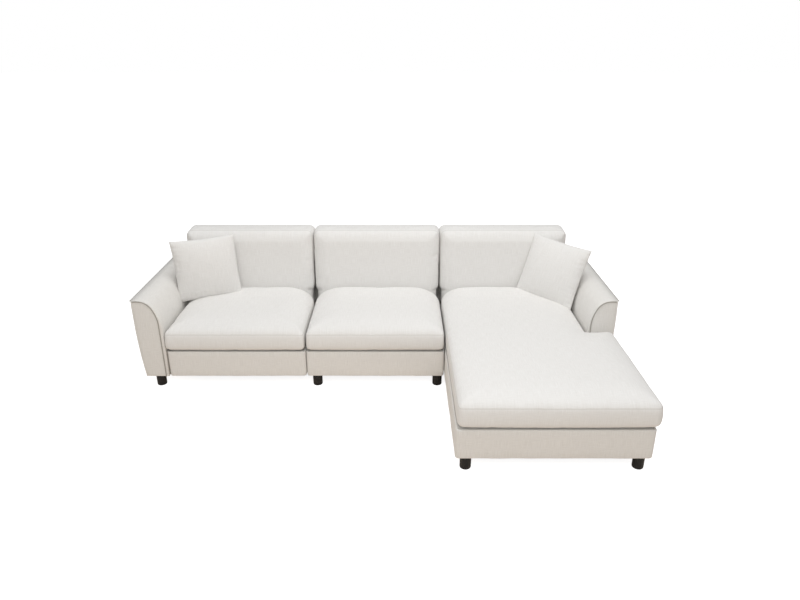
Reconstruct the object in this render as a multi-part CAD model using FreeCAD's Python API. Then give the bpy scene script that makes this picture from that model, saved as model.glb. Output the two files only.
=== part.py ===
import FreeCAD, Part
import math
import os

# A sectional sofa: a left seat with an arm, an armless middle seat, and a right chaise with an arm.
# Millimetres. X runs to the sofa's left-to-right width, Y to the back and Z up from the floor.
# The origin is the middle of the outer box's underside.

# Driving dimensions of the modules
module_width = 822.0
module_gap = 4.0
sofa_depth = 900.0
chaise_reach = 808.0
base_bottom = 68.0
base_top = 230.0
back_height = 700.0
back_recline = math.radians(6.5)
back_foot = 742.0

# Upholstered walls, pads and cloths
base_wall = 10.0
base_corner_radius = 18.0
back_wall = 12.0
back_edge_radius = 16.0
deck_thickness = 12.0
dust_cloth = 1.5
dust_cloth_lap = 5.0
dust_cloth_corner = 101.0

# Arms
arm_width = 138.0
arm_height = 559.0
arm_flare = 22.0
arm_belly = 19.0
arm_belly_height = 300.0
arm_roll_reach = 118.0
arm_roll_radius = 92.0
arm_roll_angle = math.radians(60.7)
arm_inner_pad = 16.0
arm_top_pad = 6.0
arm_wall = 10.0
arm_front_proud = 4.0
arm_panel_thickness = 12.0
piping_diameter = 6.0
arm_board = 15.0
arm_rail_thickness = 20.0
arm_foot_rail = 52.0
arm_pads = (arm_inner_pad, arm_top_pad, arm_wall, arm_wall)

# Timber, springs and webbing
rail_thickness = 30.0
cross_rail_width = 50.0
block_leg = 70.0
post_width = 30.0
post_depth = 40.0
back_rail_thickness = 20.0
back_rail_height = 55.0
spring_wire = 4.0
spring_width = 50.0
spring_pitch = 36.0
seat_springs = 4
chaise_springs = 6
chaise_spring_edge = 130.0
clip_sheet = 1.2
clip_width = 16.0
clip_length = 15.0
web_width = 50.0
web_thickness = 2.0
web_uprights = 4
web_rows = 3

# Feet, bolts and couplings. Their hidden round parts have eight flats.
foot_diameter = 57.0
foot_chamfer = 4.0
foot_setback = 30.0
foot_inset_near = 60.0
foot_inset_far = 40.0
chaise_foot_inset = 56.0
arm_foot_inset = 64.0
stud_diameter = 8.0
stud_length = 36.0
hole_clearance = 0.3
arm_bolt_diameter = 8.0
arm_bolt_head = 15.0
arm_bolt_head_height = 5.0
arm_bolt_height = 140.0
arm_bolt_window = 24.0
arm_bolt_setbacks = (220.0, 660.0)
coupling_plate = 3.0
coupling_inset = 12.0
coupling_margin = 1.0
strap_width = 46.0
plate_width = 88.0
coupling_pin_diameter = 10.0
coupling_pin_height = 30.0
coupling_pin_clearance = 1.0
coupling_setbacks = (150.0, 690.0)

# Cushions
soft_clearance = 0.3
cushion_side_gap = 3.0
cushion_overhang = 12.0
seat_cushion_depth = 578.0
boxing_height = 110.0
seat_crown = 57.0
cushion_lower_radius = 16.0
seam_pinch = 2.0
seat_corner_radius = 30.0
chaise_right_overhang = 18.0
back_cushion_depth = 156.0
back_cushion_height = 582.0
back_crown = 42.0
back_corner_radius = 57.0
back_edge_round = 26.0
pillow_side = 386.0
pillow_thickness = 112.0
pillow_draw = 15.0
pillow_edge = 6.0

# Planes that the rest is set out from
total_depth = chaise_reach + cushion_overhang + sofa_depth
rear = total_depth / 2
seat_front = rear - sofa_depth
chaise_front = seat_front - chaise_reach
half_gap = module_gap / 2
seats_right = module_width * 1.5
arm_outer = seats_right + arm_width
arm_front = seat_front - arm_front_proud
clip_height = spring_wire + 2 * clip_sheet + 0.2
deck_bottom = base_top - deck_thickness
rail_top = deck_bottom - soft_clearance - clip_height
back_foot_y = seat_front + back_foot
cross_rail_y = back_foot_y + 5.0
coupling_x = half_gap + base_wall + coupling_inset
coupling_reach = half_gap + base_wall + rail_thickness - dust_cloth_lap - coupling_margin
module_edges = {
    "left": (-seats_right, -module_width / 2),
    "middle": (-module_width / 2, module_width / 2),
    "chaise": (module_width / 2, seats_right),
}

os.makedirs("parts", exist_ok=True)


def export(name, solids):
    """Write one node, made of one solid or of a group of separate solids."""
    shape = solids[0] if len(solids) == 1 else Part.makeCompound(solids)
    shape.exportStep("parts/" + name + ".step")


def point(x, y, z):
    return FreeCAD.Vector(x, y, z)


def box(x0, x1, y0, y1, z0, z1):
    return Part.makeBox(x1 - x0, y1 - y0, z1 - z0, point(x0, y0, z0))


def polygon_face(points):
    return Part.Face(Part.makePolygon(points + points[:1]))


def upright_prism(plan, z0, z1):
    """A plan of (x, y) points, raised from z0 to z1."""
    face = polygon_face([point(x, y, z0) for x, y in plan])
    return face.extrude(point(0, 0, z1 - z0))


def sideways_prism(profile, x0, x1):
    """A profile of (y, z) points, drawn out from x0 to x1."""
    face = polygon_face([point(x0, y, z) for y, z in profile])
    return face.extrude(point(x1 - x0, 0, 0))


def octagon_rod(start, direction, length, across):
    """A hidden round bar or hole, drawn with eight flats, with its axis along X or Z."""
    radius = across / 2 / math.cos(math.pi / 8)
    points = []
    for i in range(8):
        angle = math.pi / 8 + i * math.pi / 4
        a = radius * math.cos(angle)
        b = radius * math.sin(angle)
        points.append(start + (point(0, a, b) if direction.x else point(a, b, 0)))
    return polygon_face(points).extrude(direction * length)


def upright_rod(x, y, z0, z1, across):
    return octagon_rod(point(x, y, z0), point(0, 0, 1), z1 - z0, across)


def cut_all(solids, tools):
    """Cut the tools out of each solid, and keep the solids apart."""
    if not tools:
        return solids
    made = []
    for solid in solids:
        near = [tool for tool in tools if tool.BoundBox.intersect(solid.BoundBox)]
        made += solid.cut(near).Solids if near else [solid]
    return made


def mirrored(solids):
    return [solid.mirror(point(0, 0, 0), point(1, 0, 0)) for solid in solids]


def inset(plan, distance):
    """The same right-angled plan, counter-clockwise, with every side moved inwards."""
    moved = []
    for i, (x, y) in enumerate(plan):
        before = plan[i - 1]
        after = plan[(i + 1) % len(plan)]
        shift_x = 0.0
        shift_y = 0.0
        for (ax, ay), (bx, by) in ((before, (x, y)), ((x, y), after)):
            length = math.hypot(bx - ax, by - ay)
            shift_x -= distance * (by - ay) / length
            shift_y += distance * (bx - ax) / length
        moved.append((x + shift_x, y + shift_y))
    return moved


def sides(outer, inner, z0, z1):
    """One mitred upright board for each side of a plan."""
    boards = []
    for i in range(len(outer)):
        j = (i + 1) % len(outer)
        boards.append(upright_prism([outer[i], outer[j], inner[j], inner[i]], z0, z1))
    return boards


def base_plan(module):
    """The outer plan of a module's base. The chaise's front part also runs under the arm's front."""
    x0, x1 = module_edges[module]
    x0 += half_gap
    x1 -= half_gap
    if module != "chaise":
        return [(x0, seat_front), (x1, seat_front), (x1, rear), (x0, rear)]
    step = arm_front - piping_diameter - module_gap
    return [
        (x0, chaise_front),
        (arm_outer, chaise_front),
        (arm_outer, step),
        (x1, step),
        (x1, rear),
        (x0, rear),
    ]


# Feet


def feet_places(module):
    """Where each foot of a module stands, and whether an arm carries it."""
    x0, x1 = module_edges[module]
    back = rear - foot_setback
    if module == "left":
        arm_x = x0 - arm_foot_inset
        return [(arm_x, seat_front + foot_setback, True), (arm_x, back, True)]
    if module == "middle":
        near = x0 + foot_inset_near
        far = x1 - foot_inset_far
        front = seat_front + foot_setback
        return [(near, front, False), (far, front, False), (near, back, False), (far, back, False)]
    near = x0 + chaise_foot_inset
    front = chaise_front + foot_setback
    return [
        (near, front, False),
        (arm_outer - chaise_foot_inset, front, False),
        (near, back, False),
        (x1 + arm_foot_inset, back, True),
    ]


def foot(x, y):
    """A black foot with a chamfered rim and a moulded-in stud that screws into the frame."""
    body = Part.makeCylinder(foot_diameter / 2, base_bottom, point(x, y, 0))
    rim = [edge for edge in body.Edges if edge.BoundBox.ZMax < 0.01]
    body = body.makeChamfer(foot_chamfer, rim)
    stud = upright_rod(x, y, base_bottom - 1, base_bottom + stud_length, stud_diameter)
    return body.fuse(stud)


def stud_holes(module, in_arm):
    """The holes that a base, or an arm, has for the studs of its feet."""
    top = base_bottom + stud_length + 1
    across = stud_diameter + 2 * hole_clearance
    return [
        upright_rod(x, y, base_bottom - 1, top, across)
        for x, y, arm in feet_places(module)
        if arm == in_arm
    ]


# Couplings between the modules


def coupling_spots(module):
    """Where each coupling crosses a module's side, and the direction in which its neighbour lies."""
    x0, x1 = module_edges[module]
    spots = []
    if module != "left":
        spots.append((x0, -1))
    if module != "chaise":
        spots.append((x1, 1))
    return [(x, side, seat_front + y) for x, side in spots for y in coupling_setbacks]


def coupling_pin_holes(module):
    """The middle module's pins rise into its neighbours' side rails."""
    if module == "middle":
        return []
    across = coupling_pin_diameter + 2 * coupling_pin_clearance
    bottom = base_bottom - coupling_plate - 1
    top = base_bottom + coupling_pin_height + 1
    return [
        upright_rod(x - side * coupling_x, y, bottom, top, across)
        for x, side, y in coupling_spots(module)
    ]


def coupling_plates(module):
    """Flat plates under the outer modules, each with a hole for the neighbour's pin."""
    plates = []
    for x, side, y in coupling_spots(module):
        outer = x - side * (half_gap + coupling_margin)
        inner = x - side * coupling_reach
        plates.append(
            box(
                min(outer, inner),
                max(outer, inner),
                y - plate_width / 2,
                y + plate_width / 2,
                base_bottom - coupling_plate,
                base_bottom,
            )
        )
    return cut_all(plates, coupling_pin_holes(module))


def coupling_straps():
    """Joggled straps under the middle module, that reach under each neighbour's plates."""
    upper = base_bottom
    lower = base_bottom - coupling_plate - soft_clearance
    straps = []
    for x, side, y in coupling_spots("middle"):
        root = x - side * coupling_reach
        near = x - side * (half_gap + coupling_margin)
        far = x + side * (half_gap + coupling_margin)
        tip = x + side * coupling_reach
        outline = [
            (root, upper),
            (near, upper),
            (far, lower),
            (tip, lower),
            (tip, lower - coupling_plate),
            (far, lower - coupling_plate),
            (near, upper - coupling_plate),
            (root, upper - coupling_plate),
        ]
        face = polygon_face([point(px, y - strap_width / 2, pz) for px, pz in outline])
        strap = face.extrude(point(0, strap_width, 0))
        pin_top = base_bottom + coupling_pin_height
        pin_x = x + side * coupling_x
        pin = upright_rod(pin_x, y, lower - coupling_plate / 2, pin_top, coupling_pin_diameter)
        straps.append(strap.fuse(pin))
    return straps


# Arms. The right arm is drawn, and the left one is its mirror image.


def arm_edges(y, inner=0.0, over=0.0, outer=0.0, under=0.0):
    """The arm's section at y, with its four sides moved in by the given amounts.

    u is counted outwards from the inner face, which is upright and rolls over into the flat top
    through two arcs that meet at the roll's angle.
    """
    x0 = seats_right + half_gap
    top = arm_height - over
    width = arm_width - half_gap - outer

    def at(u, z):
        return point(x0 + u, y, z)

    upper = arm_roll_radius - inner / 2
    joint_u = arm_roll_reach - upper * math.sin(arm_roll_angle)
    joint_z = top - upper * (1 - math.cos(arm_roll_angle))
    lower = (joint_u - inner) / (1 - math.sin(arm_roll_angle))
    start_z = joint_z - lower * math.cos(arm_roll_angle)

    def on_upper(angle):
        return at(arm_roll_reach - upper * math.sin(angle), top - upper * (1 - math.cos(angle)))

    def on_lower(angle):
        return at(inner + lower * (1 - math.sin(angle)), start_z + lower * math.cos(angle))

    half = arm_roll_angle / 2
    foot_in = at(inner, base_bottom + under)
    foot_out = at(width, base_bottom + under)
    corner = at(width + arm_flare, top)
    level = at(arm_roll_reach, top)
    joint = at(joint_u, joint_z)
    start = at(inner, start_z)
    return [
        Part.LineSegment(foot_in, foot_out).toShape(),
        Part.Arc(foot_out, at(width + arm_belly, arm_belly_height), corner).toShape(),
        Part.LineSegment(corner, level).toShape(),
        Part.Arc(level, on_upper(half), joint).toShape(),
        Part.Arc(joint, on_lower((arm_roll_angle + math.pi / 2) / 2), start).toShape(),
        Part.LineSegment(start, foot_in).toShape(),
    ]


def arm_prism(y0, y1, *insets):
    """The arm's section, with its sides moved in, from y0 to y1."""
    face = Part.Face(Part.Wire(arm_edges(y0, *insets)))
    return face.extrude(point(0, y1 - y0, 0))


def arm_bolt_places():
    return [(arm_front + setback, arm_bolt_height) for setback in arm_bolt_setbacks]


def arm_bolt_span():
    """From the base rail's inner face to the arm's inner rail's far face."""
    start = seats_right - half_gap - base_wall - rail_thickness
    end = seats_right + half_gap + arm_inner_pad + arm_rail_thickness
    return start, end


def arm_bolts():
    start, end = arm_bolt_span()
    along = point(1, 0, 0)
    bolts = []
    for y, z in arm_bolt_places():
        shank = octagon_rod(point(start - 1, y, z), along, end - start + 1, arm_bolt_diameter)
        head_at = point(start - arm_bolt_head_height, y, z)
        head = octagon_rod(head_at, along, arm_bolt_head_height, arm_bolt_head)
        bolts.append(shank.fuse(head))
    return bolts


def arm_bolt_holes():
    start, end = arm_bolt_span()
    across = arm_bolt_diameter + 2 * hole_clearance
    return [
        octagon_rod(point(start - 1, y, z), point(1, 0, 0), end - start + 2, across)
        for y, z in arm_bolt_places()
    ]


def arm_bolt_windows():
    """Square windows in both upholstered walls, where timber is drawn up to timber."""
    start, end = arm_bolt_span()
    half = arm_bolt_window / 2
    return [box(start, end, y - half, y + half, z - half, z + half) for y, z in arm_bolt_places()]


def arm_stud_holes():
    """The holes for both arms' studs, on the right arm: the left arm has one more foot."""
    return [stud_holes("left", True), stud_holes("chaise", True)]


def arm_cover(holes):
    outer = arm_prism(arm_front, rear)
    hollow = arm_prism(arm_front - 1, rear - arm_wall, *arm_pads)
    return cut_all([outer.cut(hollow)], arm_bolt_windows() + holes)


def arm_front_panel():
    return [arm_prism(arm_front, arm_front + arm_panel_thickness, *arm_pads)]


def arm_frame(holes):
    """Two profile boards, a bottom rail for the feet, an inner rail for the bolts, and a top rail."""
    front = arm_front + arm_panel_thickness
    back = rear - arm_wall
    x0 = seats_right + half_gap + arm_inner_pad
    z0 = base_bottom + arm_wall
    y0 = front + arm_board
    y1 = back - arm_board
    top = arm_height - arm_top_pad
    foot_x = seats_right + arm_foot_inset
    half = arm_foot_rail / 2
    solids = [
        arm_prism(front, y0, *arm_pads),
        arm_prism(y1, back, *arm_pads),
        box(foot_x - half, foot_x + half, y0, y1, z0, z0 + 40),
        box(x0, x0 + arm_rail_thickness, y0, y1, z0 + 42, z0 + 112),
        box(x0 + 97, x0 + 129, y0, y1, top - 26, top - 1),
    ]
    return cut_all(solids, arm_bolt_holes() + holes)


def arm_piping():
    """A corded edge up the inner side and over the top of the facing, and one along the outer top."""
    radius = piping_diameter / 2
    path_y = arm_front - radius
    edges = arm_edges(path_y, *arm_pads)[2:]
    inner_line = edges[3]
    low = point(inner_line.Vertexes[0].X, path_y, base_bottom)
    edges[3] = Part.LineSegment(inner_line.Vertexes[0].Point, low).toShape()
    line = Part.Wire(edges)
    start = edges[0].Vertexes[0].Point
    corners = []
    for i in range(6):
        angle = math.pi / 6 + i * math.pi / 3
        corners.append(start + point(0, radius * math.cos(angle), radius * math.sin(angle)))
    ring = Part.makePolygon(corners + corners[:1])
    front_cord = line.makePipeShell([ring], True, False)
    edge_x = seats_right + arm_width + arm_flare + radius + hole_clearance
    length = rear - arm_front + piping_diameter
    top_start = point(edge_x, arm_front - piping_diameter, arm_height - radius)
    top_cord = Part.makeCylinder(radius, length, top_start, point(0, 1, 0))
    return [Part.Solid(front_cord), top_cord]


# Bases


def base_cover(module):
    """Padded fabric walls, one sewn panel to each side, with soft outer corners and top edge."""
    plan = base_plan(module)
    block = upright_prism(plan, base_bottom, base_top)
    corners = []
    for edge in block.Edges:
        low, high = edge.Vertexes[0].Point, edge.Vertexes[-1].Point
        upright = abs(high.z - low.z) > 1
        if upright and not is_inner_corner(plan, low):
            corners.append(edge)
    block = block.makeFillet(base_corner_radius, corners)
    panels = [
        board.common(block).Solids[0]
        for board in sides(plan, inset(plan, base_wall), base_bottom, base_top)
    ]
    if module != "middle":
        windows = arm_bolt_windows()
        panels = cut_all(panels, mirrored(windows) if module == "left" else windows)
    return panels


def is_inner_corner(plan, place):
    """True at the one re-entrant corner of the chaise's plan."""
    return len(plan) == 6 and abs(place.x - plan[3][0]) < 1 and abs(place.y - plan[3][1]) < 1


def base_rails(module):
    """Mitred rails round the base, a cross rail under the back, and one at the chaise's step."""
    plan = base_plan(module)
    outer = inset(plan, base_wall)
    inner = inset(plan, base_wall + rail_thickness)
    solids = sides(outer, inner, base_bottom, rail_top)
    x0 = inner[0][0]
    x1 = module_edges[module][1] - half_gap - base_wall - rail_thickness
    half = cross_rail_width / 2
    solids.append(box(x0, x1, cross_rail_y - half, cross_rail_y + half, base_bottom, rail_top))
    if module == "chaise":
        step = inner[2][1]
        solids.append(box(x0, x1, step, step + rail_thickness, base_bottom, rail_top))
    holes = coupling_pin_holes(module) + stud_holes(module, False)
    if module != "middle":
        bolts = arm_bolt_holes()
        holes += mirrored(bolts) if module == "left" else bolts
    return cut_all(solids, holes)


def corner_blocks(module):
    """Three-cornered glue blocks, one in each outward corner of the frame."""
    corners = inset(base_plan(module), base_wall + rail_thickness)
    solids = []
    for i, (x, y) in enumerate(corners):
        if len(corners) == 6 and i == 3:
            continue
        turns = []
        for other in (corners[i - 1], corners[(i + 1) % len(corners)]):
            length = math.hypot(other[0] - x, other[1] - y)
            share = block_leg / length
            turns.append((x + (other[0] - x) * share, y + (other[1] - y) * share))
        block = upright_prism([(x, y), turns[1], turns[0]], base_bottom, rail_top)
        solids.append(block)
    return solids


def spring_lines(module):
    """The two ends of each spring: front to back in a seat, side to side in the chaise."""
    inner = inset(base_plan(module), base_wall + rail_thickness)
    grip = rail_thickness / 2
    rear_end = cross_rail_y - cross_rail_width / 2 + grip
    x0, x1 = module_edges[module]
    lines = []
    if module != "chaise":
        for i in range(seat_springs):
            x = x0 + (x1 - x0) * (i + 0.5) / seat_springs
            lines.append(((x, inner[0][1] - grip), (x, rear_end)))
        return lines
    first = chaise_front + chaise_spring_edge
    last = rear_end - chaise_spring_edge / 2
    for i in range(chaise_springs):
        y = first + (last - first) * i / (chaise_springs - 1)
        right = inner[1][0] if y < inner[2][1] - spring_width / 2 else inner[3][0]
        lines.append(((inner[0][0] - grip, y), (right + grip, y)))
    return lines


def spring(start, end):
    """A sinuous spring: a flat zigzag wave of wire, with a straight tail at each end."""
    length = math.hypot(end[0] - start[0], end[1] - start[1])
    along = ((end[0] - start[0]) / length, (end[1] - start[1]) / length)
    across = (-along[1], along[0])
    tail = 2 * clip_length
    turns = int((length - 2 * tail) / spring_pitch)
    slack = (length - turns * spring_pitch) / 2
    swing = spring_width / 2 - spring_wire
    route = [(0.0, 0.0), (slack, 0.0)]
    for i in range(turns):
        route.append((slack + (i + 0.5) * spring_pitch, swing if i % 2 else -swing))
    route += [(length - slack, 0.0), (length, 0.0)]
    low = rail_top + clip_sheet + 0.1
    outline = [
        point(
            start[0] + a * along[0] + b * across[0],
            start[1] + a * along[1] + b * across[1],
            low,
        )
        for a, b in thickened(route, spring_wire / 2)
    ]
    return polygon_face(outline).extrude(point(0, 0, spring_wire))


def thickened(route, half):
    """The outline of a bent line of steady width, mitred at its turns."""
    left = []
    right = []
    for i, (a, b) in enumerate(route):
        into = heading(route[max(i - 1, 0)], route[max(i, 1)])
        out = heading(route[min(i, len(route) - 2)], route[min(i + 1, len(route) - 1)])
        mitre = 1 + into[0] * out[0] + into[1] * out[1]
        shift_a = -half * (into[1] + out[1]) / mitre
        shift_b = half * (into[0] + out[0]) / mitre
        left.append((a + shift_a, b + shift_b))
        right.append((a - shift_a, b - shift_b))
    return left + right[::-1]


def heading(start, end):
    length = math.hypot(end[0] - start[0], end[1] - start[1])
    return ((end[0] - start[0]) / length, (end[1] - start[1]) / length)


def springs(module):
    return [spring(start, end) for start, end in spring_lines(module)]


def spring_clips(module):
    """A folded clip on the rail over each end of each spring."""
    clips = []
    for start, end in spring_lines(module):
        for place, other in ((start, end), (end, start)):
            inwards = heading(place, other)
            clips.append(spring_clip(place, inwards))
    return clips


def spring_clip(place, inwards):
    """The clip's section is a flat U, open towards the middle of the base."""
    low = rail_top
    high = rail_top + clip_height
    back = -2 * clip_sheet
    front = clip_length
    section = [
        (back, low),
        (front, low),
        (front, low + clip_sheet),
        (back + clip_sheet, low + clip_sheet),
        (back + clip_sheet, high - clip_sheet),
        (front, high - clip_sheet),
        (front, high),
        (back, high),
    ]
    sideways = (-inwards[1], inwards[0])
    half = clip_width / 2
    face = polygon_face(
        [
            point(
                place[0] + a * inwards[0] - half * sideways[0],
                place[1] + a * inwards[1] - half * sideways[1],
                z,
            )
            for a, z in section
        ]
    )
    return face.extrude(point(clip_width * sideways[0], clip_width * sideways[1], 0))


def deck(module):
    """The padded platform that the seat cushion lies on. It ends under the back's front wall."""
    plan = inset(base_plan(module), base_wall)
    deck_rear = back_foot_y + back_wall
    plan = [(x, min(y, deck_rear)) for x, y in plan]
    return [upright_prism(plan, deck_bottom, base_top)]


def dust_cover(module):
    """Black cloth under the frame, lapped onto the rails and cut off at the corners, round the feet."""
    plan = inset(base_plan(module), base_wall + rail_thickness - dust_cloth_lap)
    outline = []
    for i, (x, y) in enumerate(plan):
        if len(plan) == 6 and i == 3:
            outline.append((x, y))
            continue
        for other in (plan[i - 1], plan[(i + 1) % len(plan)]):
            ahead = heading((x, y), other)
            outline.append((x + dust_cloth_corner * ahead[0], y + dust_cloth_corner * ahead[1]))
    return [upright_prism(outline, base_bottom - dust_cloth, base_bottom)]


# Backs


def back_line(distance, z):
    """The y of a plane that lies a distance behind the back's sloping front, at height z."""
    return back_foot_y + distance / math.cos(back_recline) + (z - base_top) * math.tan(back_recline)


def back_slab(near, far, z0, z1, x0, x1):
    """A board that leans as the back does, between two distances behind its front."""
    profile = [
        (back_line(near, z0), z0),
        (back_line(far, z0), z0),
        (back_line(far, z1), z1),
        (back_line(near, z1), z1),
    ]
    return sideways_prism(profile, x0, x1)


def back_cover(module):
    """An upholstered shell, open below, with its front leaning back and its top edges soft."""
    x0, x1 = module_edges[module]
    x0 += half_gap
    x1 -= half_gap
    shell = sideways_prism(back_profile(0.0, base_top, back_height), x0, x1)
    top_edges = [
        edge
        for edge in shell.Edges
        if edge.BoundBox.ZMin > back_height - 0.01 and edge.BoundBox.XLength > 1
    ]
    shell = shell.makeFillet(back_edge_radius, top_edges)
    hollow_profile = back_profile(back_wall, base_top - 1, back_height - back_wall)
    hollow = sideways_prism(hollow_profile, x0 + back_wall, x1 - back_wall)
    return [shell.cut(hollow)]


def back_profile(wall, z0, z1):
    return [
        (back_line(wall, z0), z0),
        (rear - wall, z0),
        (rear - wall, z1),
        (back_line(wall, z1), z1),
    ]


def back_frame(module):
    """Two tapered posts that stand on the side rails, with three rails between them."""
    x0, x1 = module_edges[module]
    x0 += half_gap + back_wall
    x1 -= half_gap + back_wall
    near = back_wall + 2 * web_thickness
    z1 = back_height - back_wall
    post = [
        (back_line(near, rail_top), rail_top),
        (rear - back_wall, rail_top),
        (rear - back_wall, z1),
        (back_line(near, z1), z1),
    ]
    solids = [
        sideways_prism(post, x0, x0 + post_width),
        sideways_prism(post, x1 - post_width, x1),
    ]
    inner0 = x0 + post_width
    inner1 = x1 - post_width
    far = near + back_rail_thickness
    levels = [rail_top, (rail_top + z1 - back_rail_height) / 2, z1 - back_rail_height]
    for z0 in levels:
        solids.append(back_slab(near, far, z0, z0 + back_rail_height, inner0, inner1))
    return solids


def back_webbing(module):
    """Elastic straps: uprights from the bottom rail to the top one, and rows across them."""
    x0, x1 = module_edges[module]
    x0 += half_gap + back_wall
    x1 -= half_gap + back_wall
    z0 = base_top + 4
    z1 = back_height - back_wall - 4
    far = back_wall + 2 * web_thickness
    middle = back_wall + web_thickness
    straps = []
    for i in range(web_uprights):
        centre = x0 + (x1 - x0) * (i + 1) / (web_uprights + 1)
        low = centre - web_width / 2
        straps.append(back_slab(middle, far, z0, z1, low, low + web_width))
    for i in range(web_rows):
        centre = z0 + (z1 - z0) * (i + 1) / (web_rows + 1)
        low = centre - web_width / 2
        straps.append(back_slab(back_wall, middle, low, low + web_width, x0, x1))
    return straps


# Cushions


def arc(a, b, c):
    return Part.Arc(a, b, c).toShape()


def line(a, b):
    return Part.LineSegment(a, b).toShape()


def loft(wires):
    return Part.makeLoft(wires, True, True)


def seat_section(y, x0, x1, drop, lift, crown):
    """A cushion's section across its width: flat below, straight boxing, and a crowned top.

    drop lowers the seam and lift raises the underside, where the cushion's ends round over.
    """
    z0 = base_top + soft_clearance + lift
    z1 = base_top + soft_clearance + boxing_height - drop
    top = z1 + crown
    r = min(cushion_lower_radius, (z1 - z0) / 3)
    middle = (x0 + x1) / 2
    shoulder = 0.17 * (x1 - x0)

    def at(x, z):
        return point(x, y, z)

    low_left = at(x0 + r, z0)
    low_right = at(x1 - r, z0)
    left = at(x0, z0 + 0.7 * r)
    right = at(x1, z0 + 0.7 * r)
    left_seam = at(x0 + seam_pinch, z1)
    right_seam = at(x1 - seam_pinch, z1)
    left_rise = at(x0 + shoulder, top - 0.24 * crown)
    right_rise = at(x1 - shoulder, top - 0.24 * crown)
    return Part.Wire(
        [
            line(low_left, low_right),
            line(low_right, right),
            line(right, right_seam),
            arc(right_seam, at(x1 - 0.4 * shoulder, top - 0.6 * crown), right_rise),
            arc(right_rise, at(middle, top), left_rise),
            arc(left_rise, at(x0 + 0.4 * shoulder, top - 0.6 * crown), left_seam),
            line(left_seam, left),
            line(left, low_left),
        ]
    )


# How a cushion's end rounds over: distance in from the end, then shares of the corner radius
# that the sides come in, of the drop of the seam and rise of the underside, and of the crown.
end_steps = ((0.0, 1.0, 1.0, 0.04), (5.0, 0.48, 0.3, 0.12), (16.0, 0.15, 0.0, 0.3), (42.0, 0.0, 0.0, 0.62))


def end_sections(y_end, inwards, x0, x1, radius, crown):
    """The sections of one rounded end, from its flat outward."""
    wires = []
    for distance, side, squash, rise in end_steps:
        draw = side * radius
        wires.append(
            seat_section(
                y_end + inwards * distance,
                x0 + draw,
                x1 - draw,
                9 * squash,
                12 * squash,
                rise * crown,
            )
        )
    return wires


def seat_cushion(module):
    """A boxed seat cushion, crowned both ways, that ends in front of the back cushion."""
    x0, x1 = module_edges[module]
    x0 += cushion_side_gap
    x1 -= cushion_side_gap
    front = seat_front - cushion_overhang
    back = front + seat_cushion_depth
    wires = end_sections(front, 1, x0, x1, seat_corner_radius, seat_crown)
    for share, rise in ((0.22, 0.9), (0.5, 1.0), (0.78, 0.9)):
        y = front + seat_cushion_depth * share
        wires.append(seat_section(y, x0, x1, 0, 0, seat_crown * rise))
    wires += end_sections(back, -1, x0, x1, seat_corner_radius, seat_crown)[::-1]
    return [loft(wires)]


def chaise_cushion():
    """The long cushion, whose front part is wider and wraps round in front of the arm."""
    x0, x1 = module_edges["chaise"]
    x0 += cushion_side_gap
    x1 -= cushion_side_gap
    wide = arm_outer + chaise_right_overhang
    front = chaise_front - cushion_overhang
    back = seat_front - cushion_overhang + seat_cushion_depth
    notch = arm_front - piping_diameter - 2 * soft_clearance
    wires = end_sections(front, 1, x0, wide, seat_corner_radius, seat_crown)
    wires.append(seat_section(front + 130, x0, wide, 0, 0, 0.9 * seat_crown))
    wires.append(seat_section(front + 300, x0, wide, 0, 0, seat_crown))
    wires.append(seat_section(notch - 60, x0, wide, 0, 0, seat_crown))
    wires.append(seat_section(notch - 26, x0, wide - 4, 0, 0, seat_crown))
    wires.append(seat_section(notch - 8, x0, wide - 18, 0, 0, seat_crown))
    wires.append(seat_section(notch - 1, x0, wide - 44, 0, 0, seat_crown))
    wires.append(seat_section(notch, x0, x1, 0, 0, seat_crown))
    wires.append(seat_section(back - 125, x0, x1, 0, 0, 0.9 * seat_crown))
    wires += end_sections(back, -1, x0, x1, seat_corner_radius, seat_crown)[::-1]
    return [loft(wires)]


def back_section(x, shrink, lower, crown):
    """A back cushion's section from front to rear, leaning against the back.

    p runs up along the back's slope and q forwards from it. shrink thins the section from the
    front and the rear, and lower brings its top down.
    """
    y0 = back_line(0, base_top) - 2 * soft_clearance
    z0 = base_top + soft_clearance
    sin_a = math.sin(back_recline)
    cos_a = math.cos(back_recline)

    def at(p, q):
        return point(x, y0 + p * sin_a - q * cos_a, z0 + p * cos_a + q * sin_a)

    near = shrink
    far = back_cushion_depth - shrink
    top = back_cushion_height - lower
    r = back_edge_round - 0.3 * shrink
    turn = r * (1 - math.sin(math.radians(45)))
    slope = math.tan(back_recline)
    base_near = -(near + r) * slope
    base_far = -(far - r) * slope
    return Part.Wire(
        [
            line(at(base_near, near + r), at(base_far, far - r)),
            line(at(base_far, far - r), at(base_far + r, far)),
            arc(at(base_far + r, far), at(0.45 * top, far + crown), at(top - r, far)),
            arc(at(top - r, far), at(top - turn, far - turn), at(top, far - r)),
            line(at(top, far - r), at(top, near + r)),
            arc(at(top, near + r), at(top - turn, near + turn), at(top - r, near)),
            line(at(top - r, near), at(base_near + r, near)),
            line(at(base_near + r, near), at(base_near, near + r)),
        ]
    )


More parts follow.
